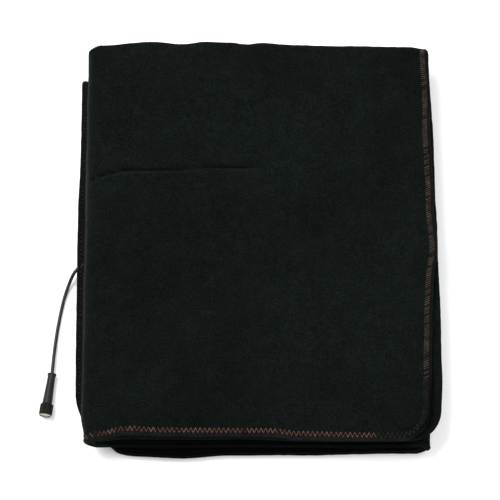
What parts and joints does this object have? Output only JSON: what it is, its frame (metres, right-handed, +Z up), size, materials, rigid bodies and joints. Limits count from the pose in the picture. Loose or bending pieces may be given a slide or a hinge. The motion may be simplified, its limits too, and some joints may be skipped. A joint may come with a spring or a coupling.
{
  "type": "heated blanket",
  "caption": "Black fleece electric heating blanket folded in half and then in thirds, with stitched hems and a short low-voltage cable ending in a screw-lock plug.",
  "frame": {"origin": "on the floor, under the centre of the folded blanket's box, measured without the cable and plug", "axes": "+X to the right when seen from the front, where the stitched hems are, +Y to the half fold at the back, +Z up"},
  "size_m": [0.4852, 0.521, 0.0491],
  "materials": {
    "fleece": "brushed black fleece",
    "lining": "brushed black fleece, inner side",
    "thread": "dull brown-red sewing thread",
    "heating_film": "carbon fibre heating cloth",
    "copper": "bare copper foil",
    "cable_jacket": "satin black cable jacket",
    "cable_mouldings": "satin black moulded grip",
    "connector_plastic": "black moulded nylon",
    "pale_plastic": "pale beige moulded plastic",
    "brass": "bright turned brass",
    "seal_rubber": "soft silicone",
    "cutout_case": "pale thermoset case"
  },
  "bodies": {
    "bottom_panel": {"bottom_back_fleece": "lining", "bottom_busbar_left": "copper", "bottom_busbar_right": "copper", "bottom_face_fleece": "fleece", "bottom_film_lower": "heating_film", "bottom_film_upper": "heating_film", "bottom_hem_thread_lower": "thread", "bottom_hem_thread_upper": "thread", "bottom_hem_thread_upper_behind_cable": "thread", "cable_grommet": "cable_mouldings", "cable_inner_end": "cable_jacket", "connector_boot": "cable_mouldings", "connector_shell": "connector_plastic", "contact_1": "brass", "contact_2": "brass", "contact_insert": "pale_plastic", "power_cable": "cable_jacket", "return_lead": "copper", "return_splice": "pale_plastic", "right_fold_inner": "fleece", "right_fold_outer": "fleece", "seal_ring": "seal_rubber", "supply_lead": "copper", "supply_splice": "pale_plastic", "temperature_sensor": "brass", "thermal_cutout": "cutout_case"},
    "middle_panel": {"middle_back_fleece": "lining", "middle_busbar_left": "copper", "middle_busbar_right": "copper", "middle_face_fleece": "fleece", "middle_film_lower": "heating_film", "middle_film_upper": "heating_film", "middle_hem_thread_lower": "thread", "middle_hem_thread_upper": "thread", "left_fold_inner": "fleece", "left_fold_outer": "fleece"},
    "top_panel": {"top_back_fleece": "lining", "top_busbar_left": "copper", "top_busbar_right": "copper", "top_edge_stitching": "thread", "top_face_fleece": "fleece", "top_film_lower": "heating_film", "top_film_upper": "heating_film", "top_hem_thread_lower": "thread", "top_hem_thread_upper": "thread"},
    "plug_nut": {"coupling_nut": "connector_plastic", "nut_face_ring": "pale_plastic"}
  },
  "joints": [
    {"name": "middle_panel_unfold", "type": "hinge", "parent": "bottom_panel", "child": "middle_panel", "pos_m": [0.1913, 0, 0.01605], "axis": [0, 1, 0], "range_deg": [0, 180], "deforming": ["right_fold_inner", "right_fold_outer"]},
    {"name": "top_panel_unfold", "type": "hinge", "parent": "middle_panel", "child": "top_panel", "pos_m": [-0.1963, 0, 0.03225], "axis": [0, -1, 0], "range_deg": [0, 180], "deforming": ["left_fold_inner", "left_fold_outer"]},
    {"name": "coupling_nut_spin", "type": "hinge", "parent": "bottom_panel", "child": "plug_nut", "pos_m": [-0.25531, -0.20238, 0.00831], "axis": [-0.1279, -0.9908, 0.0436], "continuous": true}
  ],
  "couplings": [
    {"joint": "top_panel_unfold", "follows": "middle_panel_unfold", "ratio": 1}
  ]
}
